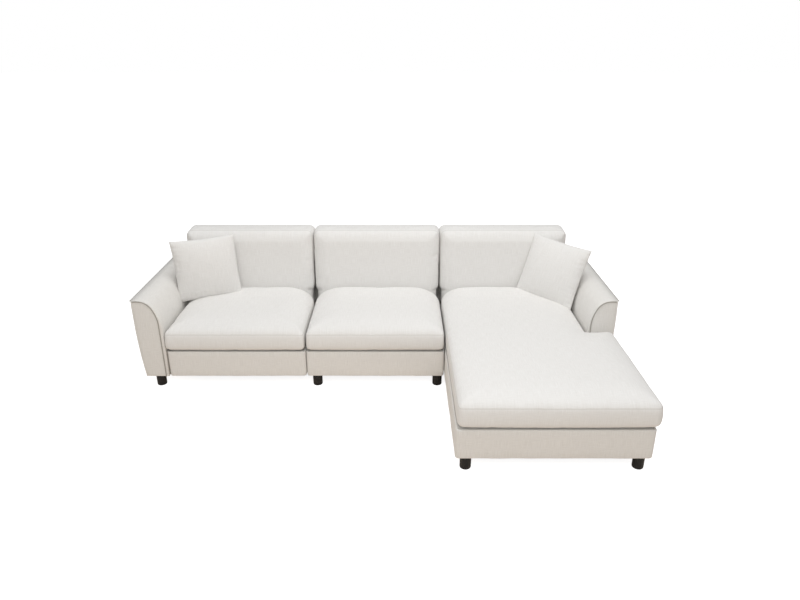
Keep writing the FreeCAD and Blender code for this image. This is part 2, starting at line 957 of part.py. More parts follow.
def back_cushion(module):
    """A boxed back cushion: crowned in front, flat behind, with rounded top corners."""
    x0, x1 = module_edges[module]
    x0 += cushion_side_gap
    x1 -= cushion_side_gap
    width = x1 - x0
    steps = []
    for distance, thin, rise in ((0, 14, 0.1), (6, 6, 0.2), (22, 1, 0.45), (57, 0, 0.72), (130, 0, 0.93)):
        reach = max(back_corner_radius - distance, 0)
        fall = back_corner_radius - math.sqrt(back_corner_radius**2 - reach**2)
        steps.append((distance, thin, 0.8 * fall, rise))
    wires = [
        back_section(x0 + distance, thin, fall, back_crown * rise)
        for distance, thin, fall, rise in steps
    ]
    wires.append(back_section(x0 + width / 2, 0, 0, back_crown))
    wires += [
        back_section(x1 - distance, thin, fall, back_crown * rise)
        for distance, thin, fall, rise in reversed(steps)
    ]
    return [loft(wires)]


# Where each throw pillow's middle lies: x, distance behind the seat's front, and height, then
# its turn about the upright, its lean backwards and its roll, in degrees.
pillow_places = {
    "left": (-1066.0, 458.0, 588.0, 16.1, 7.5, -2.5),
    "right": (1108.0, 452.0, 567.2, -36.2, 19.6, 6.8),
}


def pillow(side):
    """A knife-edge pillow: lens-shaped sections from the bottom edge up, drawn in between ears."""
    half = pillow_side / 2
    wires = []
    for share in (-1.0, -0.93, -0.75, -0.4, 0.0, 0.4, 0.75, 0.93, 1.0):
        fullness = (1 - share**2) ** 0.6
        thick = pillow_edge + (pillow_thickness - pillow_edge) * fullness
        wide = half - pillow_draw * (1 - share**4)
        left = point(-wide, 0, share * half)
        right = point(wide, 0, share * half)
        front = point(0, -thick / 2, share * half)
        back = point(0, thick / 2, share * half)
        wires.append(Part.Wire([arc(left, front, right), arc(right, back, left)]))
    solid = loft(wires)
    x, depth, z, turn, lean, roll = pillow_places[side]
    origin = point(0, 0, 0)
    solid.rotate(origin, point(0, 1, 0), roll)
    solid.rotate(origin, point(1, 0, 0), -lean)
    solid.rotate(origin, point(0, 0, 1), turn)
    solid.translate(point(x, seat_front + depth, z))
    return [solid]


for name in module_edges:
    export(name + "_feet", [foot(x, y) for x, y, _arm in feet_places(name)])
    export(name + "_base_cover", base_cover(name))
    export(name + "_base_rails", base_rails(name))
    export(name + "_corner_blocks", corner_blocks(name))
    export(name + "_springs", springs(name))
    export(name + "_spring_clips", spring_clips(name))
    export(name + "_deck", deck(name))
    export(name + "_dust_cover", dust_cover(name))
    export(name + "_back_cover", back_cover(name))
    export(name + "_back_frame", back_frame(name))
    export(name + "_back_webbing", back_webbing(name))
    export(name + "_back_cushion", back_cushion(name))
    if name == "chaise":
        export("chaise_cushion", chaise_cushion())
    else:
        export(name + "_seat_cushion", seat_cushion(name))
    if name == "middle":
        export("middle_coupling_straps", coupling_straps())
    else:
        export(name + "_coupling_plates", coupling_plates(name))

left_holes, right_holes = arm_stud_holes()
export("right_arm_cover", arm_cover(right_holes))
export("right_arm_frame", arm_frame(right_holes))
export("right_arm_front_panel", arm_front_panel())
export("right_arm_piping", arm_piping())
export("right_arm_bolts", arm_bolts())
export("left_arm_cover", mirrored(arm_cover(mirrored(left_holes))))
export("left_arm_frame", mirrored(arm_frame(mirrored(left_holes))))
export("left_arm_front_panel", mirrored(arm_front_panel()))
export("left_arm_piping", mirrored(arm_piping()))
export("left_arm_bolts", mirrored(arm_bolts()))
export("left_throw_pillow", pillow("left"))
export("right_throw_pillow", pillow("right"))
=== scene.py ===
import math

import bmesh
import bpy
from mathutils import Matrix, Vector, noise


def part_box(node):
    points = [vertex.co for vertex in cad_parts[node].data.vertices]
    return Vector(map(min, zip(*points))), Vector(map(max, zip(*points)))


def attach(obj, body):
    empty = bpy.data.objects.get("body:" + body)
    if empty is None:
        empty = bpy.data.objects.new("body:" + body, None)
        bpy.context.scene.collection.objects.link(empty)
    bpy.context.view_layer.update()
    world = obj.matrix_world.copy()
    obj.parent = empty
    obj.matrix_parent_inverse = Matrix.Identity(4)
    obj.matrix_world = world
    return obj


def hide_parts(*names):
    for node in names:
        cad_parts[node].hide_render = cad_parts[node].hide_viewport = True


# An off-white sectional sofa with a chaise, in metres. X runs left to right, Y back and Z up.

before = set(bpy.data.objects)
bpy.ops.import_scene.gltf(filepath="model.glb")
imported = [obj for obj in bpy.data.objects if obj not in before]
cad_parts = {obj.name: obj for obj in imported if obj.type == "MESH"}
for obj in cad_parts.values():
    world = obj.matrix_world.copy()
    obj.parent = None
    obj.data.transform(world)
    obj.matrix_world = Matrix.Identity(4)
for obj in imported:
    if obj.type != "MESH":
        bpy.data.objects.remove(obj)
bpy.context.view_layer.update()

# Sizes taken from the frame
MODULES = ("left", "middle", "chaise")
BODY = {"left": "left_module", "middle": "middle_module", "chaise": "chaise_module"}
SEAT_NODE = {
    "left": "left_seat_cushion",
    "middle": "middle_seat_cushion",
    "chaise": "chaise_cushion",
}
ARM_BODY = {"left": "left_module", "right": "chaise_module"}
BASE_BOTTOM = 0.068
BASE_TOP = 0.230
BACK_TOP = 0.700
BACK_RECLINE = math.radians(6.5)
ARM_INNER = 1.235
ARM_WIDTH = 0.136
ARM_HEIGHT = 0.559
ARM_FLARE = 0.022
ARM_BELLY = 0.019
ARM_FRONT = -0.044
ARM_ROLL_RADIUS = 0.092
ARM_ROLL_CENTRE = 0.118
ARM_ROLL_BEND = math.radians(60.7)
REAR = 0.860
SEAT_FRONT = -0.040
CHAISE_FRONT = -0.848
CHAISE_RIGHT = 1.371
CHAISE_STEP = -0.054
BACK_FOOT = 0.702
MODULE_SPAN = {"left": (-1.231, -0.413), "middle": (-0.409, 0.409), "chaise": (0.413, 1.231)}

# Sewing and cloth. A vertex whose mark is over SEWN lies on a seam.
SEAM_HEIGHT = {"left": 0.334, "middle": 0.334, "chaise": 0.344}
PIPING_RADIUS = 0.003
CLOTH_FRAMES = 16
SEWN = 0.5
THREAD_DEPTH = 0.0010


# Materials


def value_group(name, inputs, outputs):
    """An empty node group with the given inputs and outputs."""
    group = bpy.data.node_groups.new(name, "ShaderNodeTree")
    for label, kind, value in inputs:
        socket = group.interface.new_socket(label, in_out="INPUT", socket_type=kind)
        socket.default_value = value
    for label, kind in outputs:
        group.interface.new_socket(label, in_out="OUTPUT", socket_type=kind)
    start = group.nodes.new("NodeGroupInput")
    end = group.nodes.new("NodeGroupOutput")
    return group, start, end


def add_math(tree, operation, first, second=None, third=None):
    """A Math node fed by sockets or by plain numbers."""
    node = tree.nodes.new("ShaderNodeMath")
    node.operation = operation
    for i, value in enumerate((first, second, third)):
        if value is None:
            continue
        if isinstance(value, (int, float)):
            node.inputs[i].default_value = value
        else:
            tree.links.new(value, node.inputs[i])
    return node.outputs[0]


def add_noise(tree, vector, scale, detail=2.0, roughness=0.5):
    node = tree.nodes.new("ShaderNodeTexNoise")
    node.inputs["Scale"].default_value = scale
    node.inputs["Detail"].default_value = detail
    node.inputs["Roughness"].default_value = roughness
    tree.links.new(vector, node.inputs["Vector"])
    return node.outputs["Fac"]


def add_stretch(tree, vector, scale):
    node = tree.nodes.new("ShaderNodeMapping")
    node.inputs["Scale"].default_value = scale
    tree.links.new(vector, node.inputs["Vector"])
    return node.outputs["Vector"]


def new_material(name):
    """A material with its node tree and its surface shader."""
    material = bpy.data.materials.new(name)
    material.use_nodes = True
    tree = material.node_tree
    return material, tree, tree.nodes["Principled BSDF"]


def add_relief(tree, shader, height, strength, distance):
    """A bump from a height socket into the shader's normal."""
    relief = tree.nodes.new("ShaderNodeBump")
    relief.inputs["Strength"].default_value = strength
    relief.inputs["Distance"].default_value = distance
    tree.links.new(height, relief.inputs["Height"])
    tree.links.new(relief.outputs["Normal"], shader.inputs["Normal"])


def linen_weave():
    """Plain linen weave on a surface's own map, in metres: threads both ways, with slubs."""
    group, start, end = value_group(
        "linen_weave",
        [("Vector", "NodeSocketVector", (0, 0, 0)), ("Threads", "NodeSocketFloat", 620.0)],
        [("Height", "NodeSocketFloat"), ("Slub", "NodeSocketFloat")],
    )
    links = group.links
    wobble = group.nodes.new("ShaderNodeTexNoise")
    wobble.inputs["Scale"].default_value = 60.0
    wobble.inputs["Detail"].default_value = 1.0
    links.new(start.outputs["Vector"], wobble.inputs["Vector"])
    shift = group.nodes.new("ShaderNodeVectorMath")
    shift.operation = "SCALE"
    shift.inputs["Scale"].default_value = 0.0012
    links.new(wobble.outputs["Color"], shift.inputs[0])
    bent = group.nodes.new("ShaderNodeVectorMath")
    bent.operation = "ADD"
    links.new(start.outputs["Vector"], bent.inputs[0])
    links.new(shift.outputs[0], bent.inputs[1])
    parts = group.nodes.new("ShaderNodeSeparateXYZ")
    links.new(bent.outputs[0], parts.inputs[0])
    turns = add_math(group, "MULTIPLY", start.outputs["Threads"], 2 * math.pi)
    warp = add_math(group, "SINE", add_math(group, "MULTIPLY", parts.outputs["X"], turns))
    weft = add_math(group, "SINE", add_math(group, "MULTIPLY", parts.outputs["Y"], turns))
    crossing = add_math(group, "MULTIPLY", warp, weft)
    lifted = add_math(group, "MULTIPLY_ADD", crossing, 0.5, 0.5)
    along_warp = add_stretch(group, start.outputs["Vector"], (420, 16, 1))
    along_weft = add_stretch(group, start.outputs["Vector"], (22, 330, 1))
    warp_slub = add_math(group, "MULTIPLY", add_noise(group, along_warp, 1.0), 0.62)
    weft_slub = add_math(group, "MULTIPLY", add_noise(group, along_weft, 1.0), 0.38)
    slub = add_math(group, "ADD", warp_slub, weft_slub)
    height = add_math(group, "ADD", add_math(group, "MULTIPLY", lifted, 0.45), slub)
    links.new(height, end.inputs["Height"])
    links.new(slub, end.inputs["Slub"])
    return group


WEAVE = linen_weave()


def mix_colour(tree, factor, first, second):
    node = tree.nodes.new("ShaderNodeMix")
    node.data_type = "RGBA"
    for socket, value in ((node.inputs[0], factor), (node.inputs[6], first), (node.inputs[7], second)):
        if isinstance(value, (int, float, tuple)):
            socket.default_value = value
        else:
            tree.links.new(value, socket)
    return node.outputs[2]


def linen(name, light, dark, seam):
    """Off-white linen: two close thread colours, slubs, uneven dye, and seams darkened partly by their
    thread and partly by painted shade in their crease.
    """
    material, tree, shader = new_material(name)
    shader.inputs["Roughness"].default_value = 0.86
    shader.inputs["Specular IOR Level"].default_value = 0.25
    shader.inputs["Sheen Weight"].default_value = 0.18
    shader.inputs["Sheen Roughness"].default_value = 0.45
    place = tree.nodes.new("ShaderNodeUVMap")
    place.uv_map = "cloth"
    weave = tree.nodes.new("ShaderNodeGroup")
    weave.node_tree = WEAVE
    tree.links.new(place.outputs["UV"], weave.inputs["Vector"])
    threads = tree.nodes.new("ShaderNodeMapRange")
    threads.inputs["From Min"].default_value = 0.34
    threads.inputs["From Max"].default_value = 0.66
    tree.links.new(weave.outputs["Slub"], threads.inputs["Value"])
    woven = mix_colour(tree, threads.outputs["Result"], dark, light)
    dye = add_noise(tree, add_stretch(tree, place.outputs["UV"], (5, 5, 1)), 1.0, 3.0)
    dye_mask = add_math(tree, "MULTIPLY", dye, 0.16)
    dyed = mix_colour(tree, dye_mask, woven, dark)
    # Seams darken here: partly the thread's own colour, partly painted shade in the seam's crease.
    sewn = tree.nodes.new("ShaderNodeAttribute")
    sewn.attribute_name = "sewn"
    stitched = tree.nodes.new("ShaderNodeMapRange")
    stitched.inputs["From Min"].default_value = 0.72
    stitched.inputs["To Max"].default_value = 0.42
    tree.links.new(sewn.outputs["Fac"], stitched.inputs["Value"])
    colour = mix_colour(tree, stitched.outputs["Result"], dyed, seam)
    tree.links.new(colour, shader.inputs["Base Color"])
    add_relief(tree, shader, weave.outputs["Height"], 0.35, 0.0006)
    return material


def moulded_plastic():
    """Black satin plastic with a fine grain and patches that are a little paler and rougher."""
    material, tree, shader = new_material("black_moulded_plastic")
    shader.inputs["Specular IOR Level"].default_value = 0.35
    place = tree.nodes.new("ShaderNodeTexCoord")
    grain = add_noise(tree, place.outputs["Object"], 900.0)
    patches = add_noise(tree, place.outputs["Object"], 40.0, 3.0)
    colour = mix_colour(tree, patches, (0.006, 0.0055, 0.0055, 1), (0.013, 0.012, 0.0115, 1))
    tree.links.new(colour, shader.inputs["Base Color"])
    rough = add_math(tree, "MULTIPLY_ADD", patches, 0.14, 0.36)
    tree.links.new(rough, shader.inputs["Roughness"])
    add_relief(tree, shader, grain, 0.15, 0.0003)
    return material


def sawn_timber():
    """Pale pine with rings drawn out along the boards."""
    material, tree, shader = new_material("sawn_pine")
    place = tree.nodes.new("ShaderNodeTexCoord")
    rings = add_noise(tree, add_stretch(tree, place.outputs["Object"], (6, 60, 60)), 1.0, 4.0)
    fibre = add_noise(tree, add_stretch(tree, place.outputs["Object"], (40, 700, 700)), 1.0)
    broad = add_math(tree, "MULTIPLY", rings, 0.7)
    fine = add_math(tree, "MULTIPLY", fibre, 0.3)
    mask = add_math(tree, "ADD", broad, fine)
    colour = mix_colour(tree, mask, (0.62, 0.42, 0.24, 1), (0.82, 0.64, 0.43, 1))
    tree.links.new(colour, shader.inputs["Base Color"])
    tree.links.new(add_math(tree, "MULTIPLY_ADD", fibre, 0.2, 0.6), shader.inputs["Roughness"])
    add_relief(tree, shader, fibre, 0.3, 0.0005)
    return material


def metal(name, dark, light, roughness, metallic):
    """Steel with faint patches in its colour and polish."""
    material, tree, shader = new_material(name)
    shader.inputs["Metallic"].default_value = metallic
    place = tree.nodes.new("ShaderNodeTexCoord")
    patches = add_noise(tree, place.outputs["Object"], 120.0, 3.0)
    tree.links.new(mix_colour(tree, patches, dark, light), shader.inputs["Base Color"])
    tree.links.new(add_math(tree, "MULTIPLY_ADD", patches, 0.2, roughness), shader.inputs["Roughness"])
    return material


def plain_cloth(name, dark, light, scale):
    """Hidden cloth, such as the dust cover, the deck and the webbing, on Object coordinates."""
    material, tree, shader = new_material(name)
    shader.inputs["Roughness"].default_value = 0.9
    place = tree.nodes.new("ShaderNodeTexCoord")
    fibres = add_noise(tree, place.outputs["Object"], scale, 3.0, 0.7)
    tree.links.new(mix_colour(tree, fibres, dark, light), shader.inputs["Base Color"])
    add_relief(tree, shader, fibres, 0.4, 0.0005)
    return material


# The seams' colour: partly the thread, partly painted shade in their crease.
SEAM_THREAD_AND_SHADE = (0.50, 0.47, 0.43, 1)
LINEN = linen("off_white_linen", (0.85, 0.84, 0.82, 1), (0.765, 0.75, 0.725, 1), SEAM_THREAD_AND_SHADE)
LINEN_UPHOLSTERY = linen(
    "upholstery_linen", (0.83, 0.815, 0.785, 1), (0.735, 0.715, 0.68, 1), SEAM_THREAD_AND_SHADE
)
PLASTIC = moulded_plastic()
TIMBER = sawn_timber()
ZINC = metal("zinc_plated_steel", (0.52, 0.53, 0.54, 1), (0.70, 0.70, 0.70, 1), 0.25, 1.0)
WIRE = metal("oiled_spring_wire", (0.10, 0.10, 0.11, 1), (0.22, 0.21, 0.20, 1), 0.35, 1.0)
PAINTED = metal("black_powder_coat", (0.012, 0.012, 0.012, 1), (0.03, 0.03, 0.03, 1), 0.4, 0.0)
DECK = plain_cloth("deck_cloth", (0.62, 0.61, 0.58, 1), (0.74, 0.73, 0.70, 1), 900.0)
DUST = plain_cloth("dust_cloth", (0.008, 0.008, 0.009, 1), (0.03, 0.03, 0.03, 1), 500.0)
PIPING = plain_cloth("piping_cloth", (0.30, 0.28, 0.25, 1), (0.44, 0.42, 0.38, 1), 1200.0)
WEBBING = plain_cloth("elastic_webbing", (0.10, 0.085, 0.07, 1), (0.24, 0.21, 0.18, 1), 700.0)


# Making pieces


def make_piece(name, mesh_or_bm, material, body, nodes=()):
    """Turn a bmesh or a mesh into a smooth piece that rides on its body."""
    if isinstance(mesh_or_bm, bmesh.types.BMesh):
        mesh = bpy.data.meshes.new(name)
        mesh_or_bm.to_mesh(mesh)
        mesh_or_bm.free()
    else:
        mesh = mesh_or_bm
    mesh.polygons.foreach_set("use_smooth", [True] * len(mesh.polygons))
    piece = bpy.data.objects.new(name, mesh)
    bpy.context.scene.collection.objects.link(piece)
    mesh.materials.clear()
    mesh.materials.append(material)
    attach(piece, body)
    if nodes:
        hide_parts(*nodes)
    return piece


def evaluated_mesh(piece):
    graph = bpy.context.evaluated_depsgraph_get()
    return bpy.data.meshes.new_from_object(piece.evaluated_get(graph), depsgraph=graph)


def map_cloth(bm):
    """Each panel's own map, in metres, from the flat block: the weave then follows the surface."""
    layer = bm.loops.layers.uv.new("cloth")
    bm.normal_update()
    for face in bm.faces:
        normal = face.normal
        for loop in face.loops:
            x, y, z = loop.vert.co
            if abs(normal.z) > 0.5:
                loop[layer].uv = (x, y)
            elif abs(normal.y) > 0.5:
                loop[layer].uv = (x, z)
            else:
                loop[layer].uv = (y, z)


def mark_seams(bm, edges):
    """Mark the vertices of sewn edges, for the material and for the cloth."""
    layer = bm.verts.layers.float.new("sewn")
    for edge in edges:
        for vert in edge.verts:
            vert[layer] = 1.0


def swell(piece, pressure, stiffness, shrink, limits, caps):
    """Blow the sewn cover up a little, so that it puckers along its seams, then keep the result.

    caps is how far a vertex may move along each axis, and limits is the box that it stays in.
    """
    mesh = piece.data
    before = [v.co.copy() for v in mesh.vertices]
    sewn = mesh.attributes["sewn"].data
    seams = piece.vertex_groups.new(name="seams")
    for i in range(len(mesh.vertices)):
        if sewn[i].value > SEWN:
            seams.add([i], 1.0, "REPLACE")
    cloth = piece.modifiers.new("stuffing", "CLOTH")
    settings = cloth.settings
    settings.quality = 6
    settings.mass = 0.25
    settings.tension_stiffness = stiffness
    settings.compression_stiffness = stiffness
    settings.shear_stiffness = stiffness / 3
    settings.bending_stiffness = 0.3
    settings.use_pressure = True
    settings.uniform_pressure_force = pressure
    settings.vertex_group_shrink = "seams"
    settings.shrink_max = shrink
    settings.effector_weights.gravity = 0.0
    settings.air_damping = 4.0
    cloth.collision_settings.use_collision = False
    cloth.point_cache.frame_start = 1
    cloth.point_cache.frame_end = CLOTH_FRAMES
    scene = bpy.context.scene
    for number in range(1, CLOTH_FRAMES + 1):
        scene.frame_set(number)
    grown = evaluated_mesh(piece)
    low, high = limits
    for vert, moved, old in zip(mesh.vertices, grown.vertices, before):
        step = moved.co - old
        place = [old[i] + min(max(step[i], -caps[i]), caps[i]) for i in range(3)]
        vert.co = [min(max(place[i], low[i]), high[i]) for i in range(3)]
    piece.modifiers.remove(cloth)
    piece.vertex_groups.clear()
    bpy.data.meshes.remove(grown)
    scene.frame_set(1)


def subdivide_once(piece):
    modifier = piece.modifiers.new("smooth", "SUBSURF")
    modifier.levels = 1
    modifier.render_levels = 1


# Cushions

# A rear edge so far off that it has no say, and how far the tucks run in from the seams
NO_REAR = 99.0
TUCK_REACH = 0.030


def edge_distance(x, y, low, high, notch=None):
    """How far a plan point lies inside a cushion's outline. The notch is the L's inner corner."""
    near = [x - low[0], y - low[1]]
    if notch is None:
        return min(near + [high[0] - x, high[1] - y])
    if y >= notch[1]:
        return min(near + [notch[0] - x, high[1] - y])
    if x >= notch[0]:
        return min(near + [high[0] - x, notch[1] - y])
    return min(near + [high[0] - x, math.hypot(notch[0] - x, notch[1] - y)])


def gathers(x, y, low, high, seed):
    """Small tucks that run in from the seams, from -1 to 1, fading towards the middle."""
    beside = math.exp(-min(x - low[0], high[0] - x) / TUCK_REACH)
    ahead = math.exp(-min(y - low[1], high[1] - y) / TUCK_REACH)
    along_x = noise.noise(Vector((x * 42.0, seed, y * 4.0)))
    along_y = noise.noise(Vector((seed + 9.0, y * 42.0, x * 4.0)))
    return along_x * ahead + along_y * beside


def outline_corners(low, high, notch=None):
    """The outline's outer corners, each with the way that it points."""
    corners = [(low[0], low[1], -1, -1), (high[0], low[1], 1, -1), (low[0], high[1], -1, 1)]
    if notch is None:
        return corners + [(high[0], high[1], 1, 1)]
    return corners + [(high[0], notch[1], 1, 1), (notch[0], high[1], 1, 1)]


def round_corner(x, y, corner, radius):
    """Bend the square corner's points onto a round one."""
    corner_x, corner_y, way_x, way_y = corner
    along = radius - (corner_x - x) * way_x
    across = radius - (corner_y - y) * way_y
    if along <= 0 or across <= 0:
        return x, y
    p = min(along / radius, 1.0)
    q = min(across / radius, 1.0)
    x = corner_x + way_x * radius * (p * math.sqrt(1 - q * q / 2) - 1)
    y = corner_y + way_y * radius * (q * math.sqrt(1 - p * p / 2) - 1)
    return x, y


def inward(x, y, low, high, notch):
    """The way into the cushion from its nearest edge."""
    step = 0.002

    def change(side, ahead):
        after = edge_distance(x + side, y + ahead, low, high, notch)
        return after - edge_distance(x - side, y - ahead, low, high, notch)

    way = Vector((change(step, 0.0), change(0.0, step)))
    return way.normalized() if way.length > 0 else way


def cushion_shape(point, low, high, notch, crown, radii, edge, fullness, rear_steepness, tuck):
    """Carry a block's point onto a crowned cushion with round corners and a soft lower edge.

    crown gives the top's height over the seam, radii are those of the corners, and edge is how far
    the soft lower edge reaches. fullness is how far in from the edges the crown reaches its height.
    rear_steepness is how many times sooner it does so from the rear edge. tuck is the depth of the
    tucks under the top seam.
    """
    x, y, z = point
    inside = max(0.0, edge_distance(x, y, low, high, notch))
    to_sides = edge_distance(x, min(y, high[1] - 0.001), low, (high[0], NO_REAR), notch)
    domed = max(0.0, min(to_sides, (high[1] - y) * rear_steepness))
    way = inward(x, y, low, high, notch)
    for corner, radius in zip(outline_corners(low, high, notch), radii):
        x, y = round_corner(x, y, corner, radius)
    height = z - low[2]
    if z > high[2] - 0.0005:
        rise = 1 - (1 - min(domed / fullness, 1.0)) ** 2.4
        z += crown(point.x, point.y) * rise**0.6
    else:
        swing = noise.noise(Vector((point.x * 30.0, point.y * 30.0, high[0])))
        side = tuck * swing * max(0.0, 1 - (high[2] - z) / 0.060)
        open_side = way.y > 0.7 or (notch is not None and way.x < -0.7 and y < notch[1] - 0.01)
        if open_side:
            side += 0.006 * math.sin(math.pi * min(1.0, max(0.0, height / (high[2] - low[2]))))
        weight = max(0.0, 1 - inside / 0.010)
        x -= way.x * side * weight
        y -= way.y * side * weight
    pull = edge * max(0.0, 1 - height / edge) ** 2.2
    weight = max(0.0, 1 - inside / 0.05) ** 2
    x += way.x * pull * weight
    y += way.y * pull * weight
    if height < 0.0005:
        z += 0.4 * edge * max(0.0, 1 - inside / 0.04) ** 3
    return Vector((x, y, z))


def cut_grid(bm, low, high, steps):
    """Cut a closed block along even planes on all three axes."""
    for axis in range(3):
        span = high[axis] - low[axis]
        count = max(1, round(span / steps[axis]))
        normal = [0.0, 0.0, 0.0]
        normal[axis] = 1.0
        for i in range(1, count):
            place = list(low)
            place[axis] = low[axis] + span * i / count
            geometry = bm.verts[:] + bm.edges[:] + bm.faces[:]
            bmesh.ops.bisect_plane(bm, geom=geometry, plane_co=place, plane_no=normal)


def plan_corners(low, high, notch=None, cut=0.0):
    """The outline's corners in turn, each outer one cut off by the given length."""
    corners = [(low[0], low[1], -1, -1), (high[0], low[1], 1, -1)]
    if notch is None:
        corners += [(high[0], high[1], 1, 1)]
    else:
        corners += [(high[0], notch[1], 1, 1), (notch[0], notch[1], 0, 0), (notch[0], high[1], 1, 1)]
    corners += [(low[0], high[1], -1, 1)]
    points = []
    for x, y, way_x, way_y in corners:
        if cut == 0.0 or way_x == 0:
            points.append((x, y))
            continue
        pair = [(x, y - way_y * cut), (x - way_x * cut, y)]
        points += pair if way_x * way_y > 0 else pair[::-1]
    return points


def push_out(bm, faces, vec):
    """Extrude faces into a closed block."""
    made = bmesh.ops.extrude_face_region(bm, geom=faces, use_keep_orig=True)
    moved = [item for item in made["geom"] if isinstance(item, bmesh.types.BMVert)]
    bmesh.ops.translate(bm, vec=vec, verts=moved)
    bmesh.ops.recalc_face_normals(bm, faces=bm.faces)


def plan_block(corners, bottom, top):
    """A closed block on a plan outline."""
    bm = bmesh.new()
    face = bm.faces.new([bm.verts.new((x, y, bottom)) for x, y in corners])
    push_out(bm, [face], (0, 0, top - bottom))
    bm.normal_update()
    return bm


def seam_edges(bm):
    """The edges round a block's top and bottom faces, before it is shaped."""
    bm.normal_update()
    found = []
    for edge in bm.edges:
        first, second = (abs(face.normal.z) > 0.5 for face in edge.link_faces)
        if first != second:
            found.append(edge)
    return found


def cushion_block(low, high, notch, steps, crown, radii, edge, fullness, rear_steepness, tuck):
    """The cushion's cover before it is stuffed, with its cloth map and its seams marked."""
    bm = plan_block(plan_corners(low, high, notch), low[2], high[2])
    cut_grid(bm, low, high, steps)
    map_cloth(bm)
    mark_seams(bm, seam_edges(bm))
    for vert in bm.verts:
        vert.co = cushion_shape(
            vert.co, low, high, notch, crown, radii, edge, fullness, rear_steepness, tuck
        )
    return bm


# The top of a seat cushion, how much higher it lies towards the rear, and how far the back cushion
# squeezes its rear end up. Then how far the left one's front corner swells over the arm's edge.
SEAT_TOP = 0.397
SEAT_SLOPE = 0.014
SEAT_SQUEEZE = 0.020
ARM_PRESS = 0.009


def press_on_arm(piece, low):
    """Let the front of the cushion's left side swell outwards."""
    for vert in piece.data.vertices:
        ahead = math.exp(-max(0.0, vert.co.y - low[1]) / 0.030)
        vert.co.x -= ARM_PRESS * ahead * max(0.0, 1 - (vert.co.x - low[0]) / 0.080) ** 2


def seat_cushion(module):
    """A loose boxed seat cushion, which the chaise has in one L-shaped length."""
    node = SEAT_NODE[module]
    low, high = [list(corner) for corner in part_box(node)]
    notch = (1.2300, -0.0506) if module == "chaise" else None
    radii = (0.036, 0.036, 0.060, 0.040, 0.040) if notch else (0.022, 0.022, 0.060, 0.060)
    high[2] = SEAM_HEIGHT[module]
    low[0] -= 0.0015
    high[0] += 0.0015

    inner_end = notch[0] if notch else high[0]
    middle = (low[0] + inner_end) / 2
    half = (inner_end - low[0]) / 2

    def crown(x, y):
        slope = SEAT_SLOPE * min(1.0, max(0.0, (y - 0.10) / 0.35))
        across = max(0.0, 1 - ((x - middle) / half) ** 2)
        squeezed = SEAT_SQUEEZE * max(0.0, (y - 0.36) / 0.16) * across
        return SEAT_TOP - high[2] + slope + squeezed

    steps = (0.0140, 0.0140, 0.0137) if notch else (0.0125, 0.0125, 0.0137)
    edge = 0.024 if notch else 0.019
    bm = cushion_block(low, high, notch, steps, crown, radii, edge, 0.20, 12.0, 0.0022)
    piece = make_piece(module + "_seat_cover", bm, LINEN, module + "_seat", [node])
    if module == "left":
        press_on_arm(piece, low)
        low[0] -= ARM_PRESS
    beside = 0.012 if notch else 0.0008
    limits = ((low[0] - 0.0008, low[1] - 0.010, low[2]), (high[0] + beside, high[1], 0.432))
    swell(piece, 2.4, 14.0, 0.02, limits, (0.004, 0.004, 0.008))
    tuck_top(piece, low, high, notch, 0.0070 if notch else 0.0050)
    sew(piece)
    subdivide_once(piece)
    return piece


# Where the back cushions lie, pushed a little along the sofa
BACK_SPAN = {"left": (-1.2485, -0.4192), "middle": (-0.4188, 0.4060), "chaise": (0.4064, 1.2320)}


def lean_shape(point, low, high):
    """Slope the top forwards, spread its rear corners, draw the lower ones in and ripple the front."""
    x, y, z = point
    upper = max(0.0, (y - 0.38) / 0.19)
    front = max(0.0, z / high[2])
    y -= 0.017 * upper * front**1.5
    middle = (low[0] + high[0]) / 2
    half = (high[0] - low[0]) / 2
    lower = min(1.0, max(0.0, (0.182 - point.y) / 0.040))
    drawn = 0.013 * (1 - math.sqrt(1 - lower * lower))
    near = max(0.0, (abs(x - middle) - half + 0.10) / 0.10)
    x -= math.copysign(drawn * min(1.0, near) ** 2, x - middle)
    x += math.copysign(0.010 * upper * min(1.0, near) * max(0.0, 1 - front), x - middle)
    if front > 1.02:
        ripple = noise.noise(Vector((x * 26.0, y * 3.0, half)))
        z += 0.0060 * ripple * math.exp(-abs(y - 0.17) / 0.045)
    return Vector((x, y, z))


def back_cushion(module):
    """A loose back cushion, made lying on its back, then leant on the slope of the frame."""
    node = module + "_back_cushion"
    left, right = BACK_SPAN[module]
    low = [left, 0.0, 0.0]
    high = [right, 0.560, 0.152]

    def crown(x, y):
        return 0.044 * (0.70 + 0.30 * min(1.0, y / 0.25))

    radii = (0.045, 0.045, 0.042, 0.042)
    steps = (0.0125, 0.0125, 0.0150)
    bm = cushion_block(low, high, None, steps, crown, radii, 0.022, 0.17, 1.0, 0.0034)
    for vert in bm.verts:
        vert.co = lean_shape(vert.co, low, high)
    name = module + "_back_cushion_cover"
    piece = make_piece(name, bm, LINEN, module + "_back", [node])
    limits = ((left - 0.0005, 0.0, 0.0), (right + 0.0005, 0.576, 0.199))
    swell(piece, 2.6, 12.0, 0.02, limits, (0.004, 0.004, 0.010))
    tuck_top(piece, low, high, None, 0.0060)
    sew(piece)
    lean = Matrix.Rotation(math.radians(90) - BACK_RECLINE, 4, "X")
    piece.data.transform(Matrix.Translation((0, BACK_FOOT - 0.0006, BASE_TOP + 0.0003)) @ lean)
    subdivide_once(piece)
    return piece


def tuck_top(piece, low, high, notch, amount):
    """Press small tucks into the stuffed top beside its seams."""
    for vert in piece.data.vertices:
        x, y, z = vert.co
        if z > high[2] + 0.003:
            inside = max(0.0, edge_distance(x, y, low, high, notch))
            vert.co.z += amount * gathers(x, y, low, high, high[0]) * min(1.0, inside / 0.015)


def sew(piece):
    """Pull the seams in by a thread's depth."""
    mesh = piece.data
    sewn = mesh.attributes["sewn"].data
    normals = [v.normal.copy() for v in mesh.vertices]
    for i, vert in enumerate(mesh.vertices):
        if sewn[i].value > SEWN:
            vert.co -= normals[i] * THREAD_DEPTH


